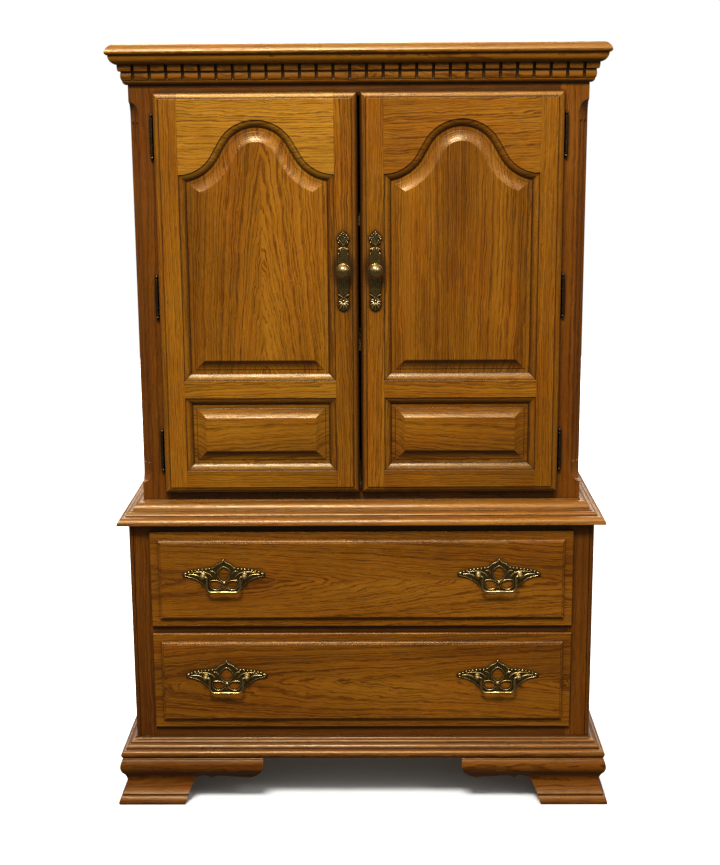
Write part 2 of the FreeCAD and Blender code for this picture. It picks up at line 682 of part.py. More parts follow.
def door_knob():
    """(knob, its screw from inside the door)."""
    foot_y = DOOR_FACE - PULL_PLATE
    socket, rim = 12.0, 14.8
    profile = [(socket, SCREW + 0.05), (0, SCREW + 0.05), (0, 7.5), (1.5, 7.5), (3.5, 4.8), (9, 4.8)]
    profile += [(11, 8), (14.5, rim - 1, 0.6), (17, rim, 0.4), (18, rim - 1, 0.3), (18, rim - 2)]
    profile += [(26, 0, dome_rise(8, rim - 2)), (socket, 0)]
    knob = turned(profile, -KNOB_X, foot_y, KNOB_Z, V(0, -1, 0))
    in_knob = socket - 1
    shank_length = DOOR_BACK - foot_y + in_knob
    shank = Part.makeCylinder(SCREW, shank_length, V(-KNOB_X, foot_y - in_knob, KNOB_Z), V(0, 1, 0))
    head = turned([(0, 0), (0, 4.5), (2.6, 2.5, 0.5), (2.6, 0)], -KNOB_X, DOOR_BACK, KNOB_Z, V(0, 1, 0))
    return knob, shank.fuse(head).removeSplitter()


def doors():
    hinge_stile, lock_stile, top_rail, middle_rail, bottom_rail = door_frame()
    frame_leaves, door_leaves, pins = [], [], []
    half = BARREL / 2 + 0.2
    outer, inner = -DOOR_OUTER - 1, 0.2 - DOOR_LEAF_END
    for z in HINGE_LEVELS:
        frame_leaf, door_leaf, pin = hinge_leaves(z)
        frame_leaves.append(frame_leaf)
        door_leaves.append(door_leaf)
        pins.append(pin)
        mortise = block(outer, inner, DOOR_BACK - LEAF - 0.1, DOOR_BACK + 1, z - half, z + half)
        hinge_stile = hinge_stile.cut(mortise)
    lock_stile = lock_stile.cut(knob_screw_hole())
    knob, screw = door_knob()

    pieces = {
        "hinge_stile": [hinge_stile],
        "lock_stile": [lock_stile],
        "top_rail": [top_rail],
        "middle_rail": [middle_rail],
        "bottom_rail": [bottom_rail],
        "upper_panel": [raised_panel(arch)],
        "lower_panel": [raised_panel(small_opening)],
        "hinge_leaves": door_leaves,
        "pull_plate": [door_plate()],
        "knob": [knob, screw],
    }
    for name, solids in pieces.items():
        save("left_door_" + name, *solids)
        save("right_door_" + name, *[mirrored(s) for s in solids])
    save("hinge_frame_leaves", *frame_leaves, *[mirrored(s) for s in frame_leaves])
    save("hinge_pins", *pins, *[mirrored(s) for s in pins])


# --------------------------------------------------------------------------------------------------
# The drawers


def drawer_front(bottom, top):
    """A front with a raised field, a hollow step, a flat border and a rounded lip, rebated into its hole."""
    border_depth, lip_round = 7.2, 2.6
    edge = rounded_edge(5.5, 6.4, fillet=1.4, steps=5)
    for a in (0, math.pi / 6, math.pi / 3, math.pi / 2):
        run = DRAWER_EDGE - lip_round * (1 - math.sin(a))
        edge.append((run, border_depth + lip_round * (1 - math.cos(a))))
    bounds = (-DRAWER_HALF, DRAWER_HALF, bottom, top)
    lip_back = FRONT - DRAWER_GAP
    front = stacked([rectangle(*bounds, DRAWER_EDGE - run, DRAWER_FACE + depth) for run, depth in edge])
    nose_end = DRAWER_FACE + edge[-1][1]
    front = front.fuse(extruded(rectangle(*bounds, 0, nose_end), V(0, lip_back - nose_end, 0)))
    inset = LIP + 1.0
    tail = extruded(rectangle(*bounds, inset, lip_back), V(0, FRONT + DRAWER_INSET - lip_back, 0))
    return front.fuse(tail).removeSplitter()


def drawer_box(bottom, top):
    """(left side, right side, back, bottom board) behind the drawer front."""
    y0 = FRONT + DRAWER_INSET
    y1 = y0 + DRAWER_BOX_LENGTH
    runs_above, headroom, back_lower = 0.5, 14.0, 6.0
    z0, z1 = bottom + LIP + runs_above, top - LIP - headroom
    half, wall = DRAWER_BOX_HALF, DRAWER_WALL
    groove, groove_play = 5.0, 0.2
    ply_z = z0 + 11
    left = block(-half, wall - half, y0, y1, z0, z1)
    back = block(wall - half, half - wall, y1 - wall, y1, z0, z1 - back_lower)
    reach, ply_back, ply_top = half - wall + groove, y1 - wall + groove, ply_z + DRAWER_PLY
    ply = block(-reach, reach, y0, ply_back, ply_z, ply_top)
    wider, deeper = reach + groove_play, ply_back + groove_play
    cutter = block(-wider, wider, y0 - 1, deeper, ply_z - groove_play / 2, ply_top + groove_play / 2)
    left, back = left.cut(cutter), back.cut(cutter)
    return left, mirrored(left), back, ply


def pull_plate(x, z):
    """The pierced plate behind a bail: scalloped wings, a pointed crest round an oval, two loops below."""
    half = [(0, 39), (7, 33.5, -0.8), (16, 28.5, 1.5), (22, 22, -0.6), (31, 21.4, 1.0), (44, 19.8, 1.3)]
    half += [(57, 18, 1.3), (70, 15, 1.3), (82, 11, 1.3), (86, 7, 1.4), (82, 3.5, 1.4), (66, 0, -0.6)]
    half += [(52, -7, -0.8), (41, -15, 0.6), (32, -25, 0.8), (20, -28, 0.8), (8, -26, -0.8), (0, -28, 0.8)]
    oval = [(0, 24), (12.8, 9.5, 3.2), (0, -6, 3.2)]
    loop = [(3.4, -14.5, 2.2), (11, -7, 1.8), (26.5, -6.5, 1.2), (28.5, -15, 1.0), (17.5, -24, 1.6)]
    middle, face = z - PLATE_DROP, DRAWER_FACE - PULL_PLATE
    thick = V(0, PULL_PLATE, 0)

    def on_face(a, b):
        return V(x + a, face, middle + b)

    plate = extruded(outline(both_sides(half), on_face), thick)
    plate = plate.cut(extruded(outline(both_sides(oval), on_face), thick))
    for side in (1, -1):
        plate = plate.cut(extruded(outline(loop, lambda a, b: on_face(side * a, b)), thick))
        start = V(x + side * POST_X, face - 1, z)
        plate = plate.cut(Part.makeCylinder(SCREW + 0.1, PULL_PLATE + 2, start, V(0, 1, 0)))
    return plate


def pull_posts(x, z, front_back):
    """The two posts of a bail pull, each with its nut inside the drawer."""
    solids = []
    plate_face = DRAWER_FACE - PULL_PLATE
    tip = POST_OUT + 5.5 - PULL_PLATE
    shape = [(0, 0), (0, 6.5), (2, 6.5), (3.5, 4), (5, 4), (6.5, 5.6), (tip - 4, 5.6), (tip, 2.5), (tip, 0)]
    nut_radius, nut_thick, socket_deep = 4.5, 3.5, 9.0
    for side in (1, -1):
        at = x + side * POST_X
        post = turned(shape, at, plate_face, z, V(0, -1, 0))
        shank = Part.makeCylinder(SCREW, front_back - plate_face + 7, V(at, plate_face - 1, z), V(0, 1, 0))
        mouth = V(at - side * (socket_deep - 1), DRAWER_FACE - POST_OUT, z)
        socket = Part.makeCylinder(BAIL_ROD + 0.25, socket_deep, mouth, V(side, 0, 0))
        post = post.fuse(shank).cut(socket).removeSplitter()
        nut = Part.makeCylinder(nut_radius, nut_thick, V(at, front_back, z), V(0, 1, 0))
        bore = Part.makeCylinder(SCREW + 0.05, nut_thick + 1, V(at, front_back - 0.5, z), V(0, 1, 0))
        solids += [post, nut.cut(bore)]
    return solids


def bail(x, z):
    """A bent rod that swings in the posts: its ends turn outwards into their sockets."""
    arm, elbow, corner = POST_X - 8.3, 3.0, 10.0
    elbow_rise, corner_rise = (radius * (1 - math.sqrt(0.5)) for radius in (elbow, corner))
    end = POST_X + 0.5
    y, bottom = DRAWER_FACE - POST_OUT, -BAIL_DROP
    left = [(-end, 0), (-arm - elbow, 0), (-arm, -elbow, elbow_rise), (-arm, bottom + corner)]
    left += [(corner - arm, bottom, -corner_rise)]
    right = [(arm - corner, bottom), (arm, bottom + corner, -corner_rise), (arm, -elbow)]
    right += [(arm + elbow, 0, elbow_rise), (end, 0)]
    spine = path(left + right, lambda a, b: V(x + a, y, z + b))
    ring = Part.Wire([Part.makeCircle(BAIL_ROD, V(x - end, y, z), V(1, 0, 0))])
    rod = spine.makePipeShell([ring], True, False)
    grip = 18.0
    swell = [(0, 0), (0, 1.5), (grip, 3.4, 0.4), (2 * grip, 1.5, 0.4), (2 * grip, 0)]
    return rod.fuse(turned(swell, x - grip, y, z + bottom, V(1, 0, 0))).removeSplitter()


def drawers():
    for name, (bottom, top) in DRAWERS.items():
        front = drawer_front(bottom, top)
        left, right, back, ply = drawer_box(bottom, top)
        z = PULL_LEVELS[name]
        front_back = FRONT + DRAWER_INSET
        plates, posts = [], []
        for side, x in (("left", -PULL_X), ("right", PULL_X)):
            plates.append(pull_plate(x, z))
            posts += pull_posts(x, z, front_back)
            for at in (x - POST_X, x + POST_X):
                front = front.cut(Part.makeCylinder(SCREW + 0.1, 40, V(at, DRAWER_FACE - 5, z), V(0, 1, 0)))
            save(f"{name}_{side}_bail", bail(x, z))
        save(f"{name}_front", front)
        save(f"{name}_walls", left, right, back)
        save(f"{name}_bottom", ply)
        save(f"{name}_pull_plates", *plates)
        save(f"{name}_pull_posts", *posts)


def main():
    os.makedirs("parts", exist_ok=True)
    lower_case()
    base_moulding()
    feet()
    waist_moulding()
    corner_posts()
    upper_case()
    crown()
    doors()
    drawers()


main()
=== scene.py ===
"""The armoire's looks: stained oak, antique brass pulls, dark hinges, a pale floor, soft light and a camera.

Everything is in metres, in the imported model's frame: +Z up, the floor at z = 0, and the doors facing -Y.
"""

import bmesh
import bpy
import math
from mathutils import Matrix, Vector


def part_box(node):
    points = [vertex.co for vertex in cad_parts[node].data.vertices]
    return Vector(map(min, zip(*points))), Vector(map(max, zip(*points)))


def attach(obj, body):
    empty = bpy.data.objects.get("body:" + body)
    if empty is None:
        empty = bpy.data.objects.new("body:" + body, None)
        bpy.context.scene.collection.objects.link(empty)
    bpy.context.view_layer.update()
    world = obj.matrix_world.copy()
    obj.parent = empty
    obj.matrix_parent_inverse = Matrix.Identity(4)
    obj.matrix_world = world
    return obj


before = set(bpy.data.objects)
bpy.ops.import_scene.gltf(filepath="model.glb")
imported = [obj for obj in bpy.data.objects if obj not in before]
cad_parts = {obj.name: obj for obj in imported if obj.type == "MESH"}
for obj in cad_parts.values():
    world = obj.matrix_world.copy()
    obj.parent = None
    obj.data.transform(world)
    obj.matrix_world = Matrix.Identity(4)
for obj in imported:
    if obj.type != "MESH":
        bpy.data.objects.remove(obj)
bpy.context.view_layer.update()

# Camera
CAMERA_PLACE = (0.038, -3.174, 1.458)
CAMERA_YAW = math.radians(0.75)  # to the left of straight at the back
CAMERA_PITCH = math.radians(12.42)  # below the horizon
CAMERA_ROLL = math.radians(0.39)
CAMERA_LENS = 62.1

LAMP_COLOUR = (1.0, 0.95, 0.86)

# Stained oak, as (dark, middle, light) linear colours. PALE is bare oak under a thin sealer.
LIGHT_GOLD = ((0.100, 0.035, 0.0020), (0.330, 0.145, 0.0090), (0.47, 0.240, 0.025))
GOLDEN = ((0.065, 0.018, 0.0010), (0.240, 0.086, 0.0035), (0.37, 0.158, 0.010))
HONEY = ((0.080, 0.026, 0.0012), (0.275, 0.108, 0.0050), (0.41, 0.188, 0.014))
AMBER = ((0.055, 0.014, 0.0010), (0.215, 0.074, 0.0032), (0.34, 0.138, 0.010))
RUSSET = ((0.038, 0.0090, 0.0008), (0.145, 0.043, 0.0026), (0.235, 0.082, 0.006))
PALE = ((0.20, 0.10, 0.035), (0.42, 0.26, 0.12), (0.58, 0.40, 0.21))
REDDER = (1.0, 0.82, 0.62, 1.0)
LACQUER_TINT = (1.0, 0.75, 0.40, 1.0)
PORE_DEPTH = 0.0005
WORN_EDGE = 0.0011  # radius that the pieces' edges seem to have

# Painted shade, partly a dark glaze: the colour laid into the corners of the mouldings and on down-facing
# undersides, where shade falls
GLAZE_AND_SHADE_COLOUR = (0.026, 0.0085, 0.0020, 1.0)
OPEN_FACE = 0.985  # how open a face has to be to have none of the painted shade and glaze

# Settings for the painted shade and glaze: how far it reaches out of a corner, how open a corner has it at
# its darkest, and how much painted shade an underside has
IN_CORNERS = (0.012, 0.45, 0.4)
IN_COVE = (0.012, 0.45, 0.1)
IN_FLUTES = (0.006, 0.45, 0.4)
IN_SAW_CUTS = (0.02, 0.62, 0.6)
IN_STEPS = (0.012, 0.75, 0.4)
# For the lower face rails: a painted shadow of the drawer fronts' lips on the rails
BEHIND_LIPS = (0.045, 0.70, 0.4)
ROUND_PANELS = (0.030, 0.87, 0.8)
ON_BEVELS = (0.012, 0.45, 0.82)
ON_SMALL_BEVELS = (0.028, 0.72, 0.93)

SOLID = 4.0  # metres: wider than any piece, for one that is cut from a single board

# Antiqued metal, as (dark, bright) linear colours
PATINA = ((0.015, 0.010, 0.005), (0.165, 0.112, 0.036))
RUBBED = ((0.045, 0.030, 0.010), (0.46, 0.33, 0.125))
BRONZE = ((0.010, 0.007, 0.0045), (0.075, 0.052, 0.028))


# --------------------------------------------------------------------------------------------------
# Node trees


def add(tree, kind, ins=None, **settings):
    """A new shader node. ins maps each input's name or number to a value, or to the socket that feeds it."""
    made = tree.nodes.new("ShaderNode" + kind)
    for key, value in settings.items():
        setattr(made, key, value)
    for name, value in (ins or {}).items():
        if isinstance(value, bpy.types.NodeSocket):
            tree.links.new(value, made.inputs[name])
        else:
            made.inputs[name].default_value = value
    return made


def calc(tree, operation, *values):
    return add(tree, "Math", dict(enumerate(values)), operation=operation).outputs[0]


def vector_calc(tree, operation, *values):
    made = add(tree, "VectorMath", dict(enumerate(values)), operation=operation)
    return made.outputs["Value" if operation == "LENGTH" else "Vector"]


def stretched(tree, vector, x, y, z):
    return vector_calc(tree, "MULTIPLY", vector, (x, y, z))


def noise(tree, vector, scale=1.0, detail=2.0, roughness=0.5, output="Fac"):
    ins = {"Vector": vector, "Scale": scale, "Detail": detail, "Roughness": roughness}
    return add(tree, "TexNoise", ins).outputs[output]


def ramp(tree, factor, *stops):
    """A colour ramp from (position, colour) stops. A colour may be one number for a grey."""
    made = add(tree, "ValToRGB", {"Fac": factor})
    elements = made.color_ramp.elements
    for _ in stops[2:]:
        elements.new(0.5)
    for element, (position, colour) in zip(elements, stops):
        rgb = (colour,) * 3 if isinstance(colour, float) else colour
        element.position = position
        element.color = (*rgb, 1.0)
    return made.outputs["Color"]


def between(tree, value, low, high, to_low=0.0, to_high=1.0):
    ins = {"Value": value, "From Min": low, "From Max": high, "To Min": to_low, "To Max": to_high}
    return add(tree, "MapRange", ins, clamp=True).outputs["Result"]


def mixed(tree, factor, a, b, blend="MIX"):
    made = add(tree, "Mix", data_type="RGBA", blend_type=blend)
    for name, value in (("Factor_Float", factor), ("A_Color", a), ("B_Color", b)):
        socket = next(s for s in made.inputs if s.identifier == name)
        if isinstance(value, bpy.types.NodeSocket):
            tree.links.new(value, socket)
        else:
            socket.default_value = value
    return next(s for s in made.outputs if s.identifier == "Result_Color")


def new_material(name):
    material = bpy.data.materials.new(name)
    material.use_nodes = True
    material.node_tree.nodes.clear()
    return material, material.node_tree


def close_material(tree, **ins):
    """Ends a material's tree in a Principled shader."""
    shader = add(tree, "BsdfPrincipled", {key.replace("_", " "): value for key, value in ins.items()})
    add(tree, "OutputMaterial", {"Surface": shader.outputs["BSDF"]})


def recess(tree, reach, samples):
    """From 0 in a deep corner to 1 on an open face."""
    return add(tree, "AmbientOcclusion", {"Distance": reach}, samples=samples).outputs["AO"]


def rounded(tree, radius):
    """The surface's normal, with its edges rounded off."""
    return add(tree, "Bevel", {"Radius": radius}, samples=6).outputs["Normal"]


# --------------------------------------------------------------------------------------------------
# Oak


def oak_figure():
    """A group that cuts a board out of a trunk, whose middle is on the Z axis. Its vector is in metres.

    Band is 1 in the porous early wood of each growth ring and 0 in its dense late wood. Streak is the broken
    dark veins along the grain, Pores the short dashes of the open pores and Fibre the finest lines. Tone is
    each board's shade.
    """
    rings_per_metre = 260.0
    slow_sway, quick_sway = 0.030, 0.0070  # metres that the rings wander
    centre = (0.5, 0.5, 0.5)
    group = bpy.data.node_groups.new("oak_figure", "ShaderNodeTree")
    face = group.interface
    face.new_socket("Vector", in_out="INPUT", socket_type="NodeSocketVector")
    face.new_socket("Board", in_out="INPUT", socket_type="NodeSocketFloat")
    for name in ("Band", "Streak", "Pores", "Fibre", "Tone"):
        face.new_socket(name, in_out="OUTPUT", socket_type="NodeSocketFloat")
    given = group.nodes.new("NodeGroupInput").outputs
    results = group.nodes.new("NodeGroupOutput").inputs
    place = given["Vector"]

    across = add(group, "SeparateXYZ", {"Vector": place}).outputs["X"]
    index = calc(group, "FLOOR", calc(group, "DIVIDE", across, given["Board"]))
    chance = add(group, "TexWhiteNoise", {"W": index}, noise_dimensions="1D")
    shift = vector_calc(group, "SUBTRACT", chance.outputs["Color"], centre)
    place = vector_calc(group, "ADD", place, stretched(group, shift, 0.06, 0.03, 0.9))

    slow = noise(group, stretched(group, place, 7.0, 7.0, 1.6), output="Color")
    quick = noise(group, stretched(group, place, 60.0, 60.0, 22.0), output="Color")
    slow = vector_calc(group, "SUBTRACT", slow, centre)
    quick = vector_calc(group, "SUBTRACT", quick, centre)
    bent = vector_calc(group, "ADD", place, stretched(group, slow, slow_sway, slow_sway, 0.0))
    bent = vector_calc(group, "ADD", bent, stretched(group, quick, quick_sway, quick_sway, 0.0))
    radius = vector_calc(group, "LENGTH", stretched(group, bent, 1.0, 1.0, 0.0))
    years = calc(group, "MULTIPLY", radius, rings_per_metre)
    spacing = add(group, "TexNoise", {"W": calc(group, "MULTIPLY", radius, 70.0)}, noise_dimensions="1D")
    years = calc(group, "MULTIPLY_ADD", spacing.outputs["Fac"], 2.2, years)
    across_ring = calc(group, "FRACT", years)
    band = ramp(group, across_ring, (0.0, 1.0), (0.2, 0.8), (0.4, 0.12), (0.9, 0.0), (1.0, 1.0))

    veins = noise(group, stretched(group, bent, 330.0, 330.0, 17.0), detail=2.0)
    veins = between(group, veins, 0.42, 0.58)
    dashes = noise(group, stretched(group, bent, 1250.0, 1250.0, 40.0), detail=1.0)
    dashes = between(group, dashes, 0.50, 0.63)
    streak = calc(group, "MULTIPLY", calc(group, "MULTIPLY_ADD", band, 0.85, 0.15), veins)
    pores = calc(group, "MULTIPLY", calc(group, "MULTIPLY_ADD", band, 0.75, 0.25), dashes)
    fibre = noise(group, stretched(group, bent, 560.0, 560.0, 6.0), detail=3.0, roughness=0.6)
    tone = chance.outputs["Value"]
    found = {"Band": band, "Streak": streak, "Pores": pores, "Fibre": fibre, "Tone": tone}
    for name, value in found.items():
        group.links.new(value, results[name])
    return group


OAK_FIGURE = oak_figure()

# The trunk's axes (across the face, out of the face, along the grain) for a grain and a facing direction
TRUNK_AXES = {
    ("z", "y"): ((1, 0, 0), (0, 1, 0), (0, 0, 1)),
    ("x", "y"): ((0, 0, -1), (0, 1, 0), (1, 0, 0)),
    ("z", "x"): ((0, 1, 0), (-1, 0, 0), (0, 0, 1)),
    ("y", "x"): ((0, 0, 1), (1, 0, 0), (0, 1, 0)),
    ("x", "z"): ((0, 1, 0), (0, 0, 1), (1, 0, 0)),
}


def oak(name, tones, grain, facing, heart, lean, board=SOLID, contrast=1.0, glaze_and_shade=IN_CORNERS):
    """Stained and lacquered oak. heart is a point on the trunk's middle. lean tilts the trunk behind the
    face, which draws the rings out into arches. board is the width of the boards that are glued up, contrast
    how strongly the rings and veins show, and glaze_and_shade one of the settings above, for the painted
    shade."""
    material, tree = new_material(name)
    axes = Matrix.Rotation(lean, 3, "X") @ Matrix([Vector(axis) for axis in TRUNK_AXES[grain, facing]])
    ins = {"Vector": add(tree, "TexCoord").outputs["Object"]}
    ins["Location"] = -(axes @ Vector(heart))
    ins["Rotation"] = axes.to_euler()
    place = add(tree, "Mapping", ins).outputs["Vector"]
    group = add(tree, "Group", node_tree=OAK_FIGURE)
    tree.links.new(place, group.inputs["Vector"])
    group.inputs["Board"].default_value = board
    band, streak, pores, fibre, tone = group.outputs

    # The stain's shade: slow patches, fine fibres, the board's own tone and darker early wood
    patches = noise(tree, stretched(tree, place, 9.0, 9.0, 1.8), detail=3.0)
    shade = between(tree, patches, 0.25, 0.75, 0.30, 0.78)
    shade = calc(tree, "ADD", shade, between(tree, fibre, 0.25, 0.75, -0.15, 0.15))
    shade = calc(tree, "ADD", shade, between(tree, tone, 0.0, 1.0, -0.12, 0.12))
    shade = calc(tree, "MULTIPLY_ADD", band, -0.24 * contrast, shade)
    dark, middle, light = tones
    colour = ramp(tree, shade, (0.0, dark), (0.5, middle), (1.0, light))

    # The veins and the open pores hold more stain, and some patches are redder
    streak = calc(tree, "MULTIPLY", streak, 0.85 * contrast)
    vein = calc(tree, "MAXIMUM", streak, calc(tree, "MULTIPLY", pores, 0.8))
    colour = mixed(tree, vein, colour, (*dark, 1.0))
    ruddy = noise(tree, stretched(tree, place, 26.0, 26.0, 5.0), detail=3.0)
    ruddy = between(tree, ruddy, 0.42, 0.68, 0.0, 0.65)
    colour = mixed(tree, ruddy, colour, REDDER, "MULTIPLY")

    # Painted shade: darker in the corners, where it is partly a dark glaze, and on faces that point down
    reach, darkest, underside = glaze_and_shade
    in_corners = between(tree, recess(tree, reach, 12), darkest, OPEN_FACE, 0.95, 0.0)
    upward = add(tree, "SeparateXYZ", {"Vector": add(tree, "TexCoord").outputs["Normal"]}).outputs["Z"]
    glaze_and_shade_mask = calc(tree, "MAXIMUM", in_corners, between(tree, upward, -0.50, -0.06, underside, 0.0))
    colour = mixed(tree, glaze_and_shade_mask, colour, GLAZE_AND_SHADE_COLOUR)

    # Fibres stand up a little and pores are open. The lacquer over them is satin, and tints what it mirrors.
    height = calc(tree, "SUBTRACT", calc(tree, "MULTIPLY", fibre, 0.3), calc(tree, "MULTIPLY", pores, 0.7))
    bump = {"Height": height, "Strength": 0.3, "Distance": PORE_DEPTH, "Normal": rounded(tree, WORN_EDGE)}
    normal = add(tree, "Bump", bump).outputs["Normal"]
    roughness = between(tree, noise(tree, place, 30.0, 3.0), 0.3, 0.7, 0.25, 0.38)
    close_material(tree, Base_Color=colour, Roughness=roughness, Normal=normal, Coat_Weight=0.06,
                   Coat_Roughness=0.1, Specular_Tint=LACQUER_TINT)
    return material


# --------------------------------------------------------------------------------------------------
# Metal and small materials


def aged_metal(name, colours, roughness):
    """Metal that is bright where hands rub it and dark in its hollows."""
    material, tree = new_material(name)
    place = add(tree, "TexCoord").outputs["Object"]
    dark, bright = colours
    mottle = noise(tree, place, 160.0, 4.0, 0.6)
    worn = calc(tree, "ADD", recess(tree, 0.006, 8), between(tree, mottle, 0.3, 0.7, -0.25, 0.15))
    colour = mixed(tree, between(tree, worn, 0.35, 1.0), (*dark, 1.0), (*bright, 1.0))
    rough = between(tree, noise(tree, place, 420.0, 2.0), 0.3, 0.7, roughness - 0.07, roughness + 0.1)
    bump = {"Height": noise(tree, place, 700.0, 3.0), "Strength": 0.2, "Distance": 0.0003}
    bump["Normal"] = rounded(tree, 0.0004)
    normal = add(tree, "Bump", bump).outputs["Normal"]
    close_material(tree, Base_Color=colour, Metallic=1.0, Roughness=rough, Normal=normal)
    return material


PATINA_BRASS = aged_metal("patina_brass", PATINA, 0.36)
RUBBED_BRASS = aged_metal("rubbed_brass", RUBBED, 0.30)


def catch_plastic():
    material, tree = new_material("catch_plastic")
    place = add(tree, "TexCoord").outputs["Object"]
    grain = noise(tree, place, 900.0, 2.0)
    shade = between(tree, grain, 0.3, 0.7)
    colour = mixed(tree, shade, (0.030, 0.016, 0.009, 1.0), (0.046, 0.026, 0.015, 1.0))
    normal = add(tree, "Bump", {"Height": grain, "Strength": 0.3, "Distance": 0.0003}).outputs["Normal"]
    close_material(tree, Base_Color=colour, Roughness=0.55, Normal=normal)
    return material


def pale_floor():
    material, tree = new_material("pale_floor")
    place = add(tree, "TexCoord").outputs["Object"]
    faint = noise(tree, place, 3.0, 3.0)
    colour = mixed(tree, faint, (0.82, 0.85, 0.90, 1.0), (0.86, 0.89, 0.94, 1.0))
    close_material(tree, Base_Color=colour, Roughness=0.7)
    return material


def dress(node, material):
    """Gives a CAD node this material in place of its plain one."""
    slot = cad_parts[node].material_slots[0]
    slot.link = "OBJECT"
    slot.material = material


def dress_doors():
    for side, sign in (("left", -1), ("right", 1)):
        middle = sign * 0.203  # of the door's width
        top_tones, tones = (LIGHT_GOLD, HONEY) if side == "left" else (GOLDEN, GOLDEN)
        pieces = {
            "hinge_stile": (GOLDEN, "z", "y", (sign * 0.56, -0.10, 0.0), 0.01, SOLID, 0.8, ROUND_PANELS),
            "lock_stile": (GOLDEN, "z", "y", (sign * -0.12, -0.08, 0.3), -0.02, SOLID, 1.0, ROUND_PANELS),
            "top_rail": (top_tones, "x", "y", (middle, -0.06, 1.56), 0.03 * sign, SOLID, 1.15, ROUND_PANELS),
            "middle_rail": (tones, "x", "y", (middle, -0.05, 1.02), -0.03 * sign, SOLID, 1.0, ROUND_PANELS),
            "bottom_rail": (tones, "x", "y", (middle, -0.06, 0.56), 0.02, SOLID, 1.0, ROUND_PANELS),
            "lower_panel": (tones, "x", "y", (middle, -0.08, 0.74), 0.05 * sign, SOLID, 1.0, ON_SMALL_BEVELS),
        }
        for piece, cut in pieces.items():
            node = f"{side}_door_{piece}"
            dress(node, oak(node, *cut))
    flame = oak("left_upper_panel", GOLDEN, "z", "y", (-0.195, -0.14, 1.05), 0.085, glaze_and_shade=ON_BEVELS)
    staves = oak("right_upper_panel", GOLDEN, "z", "y", (0.35, -0.10, 1.15), 0.02, 0.075, glaze_and_shade=ON_BEVELS)
    dress("left_door_upper_panel", flame)
    dress("right_door_upper_panel", staves)


def dress_drawers():
    for name, lean in (("upper", 0.07), ("lower", -0.06)):
        lowest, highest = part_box(f"{name}_drawer_front")
        z = (lowest.z + highest.z) / 2
        front = oak(f"{name}_drawer_front", AMBER, "x", "y", (0.1, -0.16, z), lean, 0.13)
        walls = oak(f"{name}_drawer_walls", PALE, "y", "x", (0.1, 0.0, z), 0.02)
        bottom = oak(f"{name}_drawer_bottom", PALE, "x", "z", (0.0, 0.0, z + 0.1), 0.04)
        dress(f"{name}_drawer_front", front)
        dress(f"{name}_drawer_walls", walls)
        dress(f"{name}_drawer_bottom", bottom)


def dress_cases():
    """Oak for the cases and feet: a cut for each node, one for all the inner boards, one for both backs."""
    cuts = {
        "corner_posts": (RUSSET, "z", "y", (0.0, 0.10, 0.0), 0.01, SOLID, 0.8, IN_FLUTES),
        "lower_stiles": (RUSSET, "z", "y", (0.1, 0.06, 0.0), 0.02, SOLID, 0.8),
        "upper_face_rails": (RUSSET, "x", "y", (0.0, 0.05, 0.66), 0.01),
        "lower_face_rails": (RUSSET, "x", "y", (0.0, 0.05, 0.38), 0.01, SOLID, 1.0, BEHIND_LIPS),
        "upper_sides": (AMBER, "z", "x", (0.35, 0.02, 0.9), 0.06, 0.1),
        "lower_sides": (AMBER, "z", "x", (0.35, -0.02, 0.4), 0.05, 0.1),
        "crown_top_board": (HONEY, "x", "z", (0.2, 0.1, 1.65), 0.04, 0.12),
        "crown_ovolo_moulding": (GOLDEN, "x", "y", (0.0, 0.3, 1.6), 0.01, SOLID, 1.0, IN_COVE),
        "dentil_moulding": (AMBER, "x", "y", (0.0, 0.2, 1.5), 0.01, SOLID, 1.0, IN_SAW_CUTS),
        "waist_moulding": (AMBER, "x", "y", (0.0, 0.0, 0.7), 0.012),
        "base_moulding": (RUSSET, "x", "y", (0.0, 0.05, 0.2), 0.012, SOLID, 1.0, IN_STEPS),
        "front_left_foot": (RUSSET, "x", "y", (0.0, 0.02, 0.13), 0.02),
        "front_right_foot": (RUSSET, "x", "y", (0.0, 0.03, 0.12), 0.02),
        "rear_feet": (RUSSET, "x", "y", (0.0, 0.02, 0.13), 0.02),
        "drawer_runners": (PALE, "y", "x", (0.2, 0.0, 0.3), 0.02),
    }
    for node, cut in cuts.items():
        dress(node, oak(node, *cut))

    boards = oak("inner_boards", PALE, "x", "z", (0.1, 0.1, 0.9), 0.03, 0.12)
    for node in ("upper_case_floor", "upper_case_top", "adjustable_shelves",
                 "lower_case_floor", "lower_case_top"):
        dress(node, boards)
    backs = oak("back_panels", PALE, "z", "y", (0.0, 0.30, 0.5), 0.06, 0.3)
    dress("upper_back_panel", backs)
    dress("lower_back_panel", backs)


def dress_metal():
    knob_brass = aged_metal("knob_brass", RUBBED, 0.2)
    bronze = aged_metal("dark_bronze", BRONZE, 0.38)
    for node in ("hinge_pins", "hinge_frame_leaves", "left_door_hinge_leaves", "right_door_hinge_leaves"):
        dress(node, bronze)
    for side in ("left", "right"):
        dress(f"{side}_door_pull_plate", PATINA_BRASS)
        dress(f"{side}_door_knob", knob_brass)
        dress(f"upper_drawer_{side}_bail", RUBBED_BRASS)
        dress(f"lower_drawer_{side}_bail", RUBBED_BRASS)
    for name in ("upper", "lower"):
        dress(f"{name}_drawer_pull_plates", PATINA_BRASS)
        dress(f"{name}_drawer_pull_posts", RUBBED_BRASS)
    dress("shelf_pins", aged_metal("pin_steel", ((0.20, 0.20, 0.20), (0.62, 0.61, 0.60)), 0.3))
    dress("magnet_catches", catch_plastic())


# --------------------------------------------------------------------------------------------------
# The castings' relief: rims, beads and leaves that stand on the pierced plates


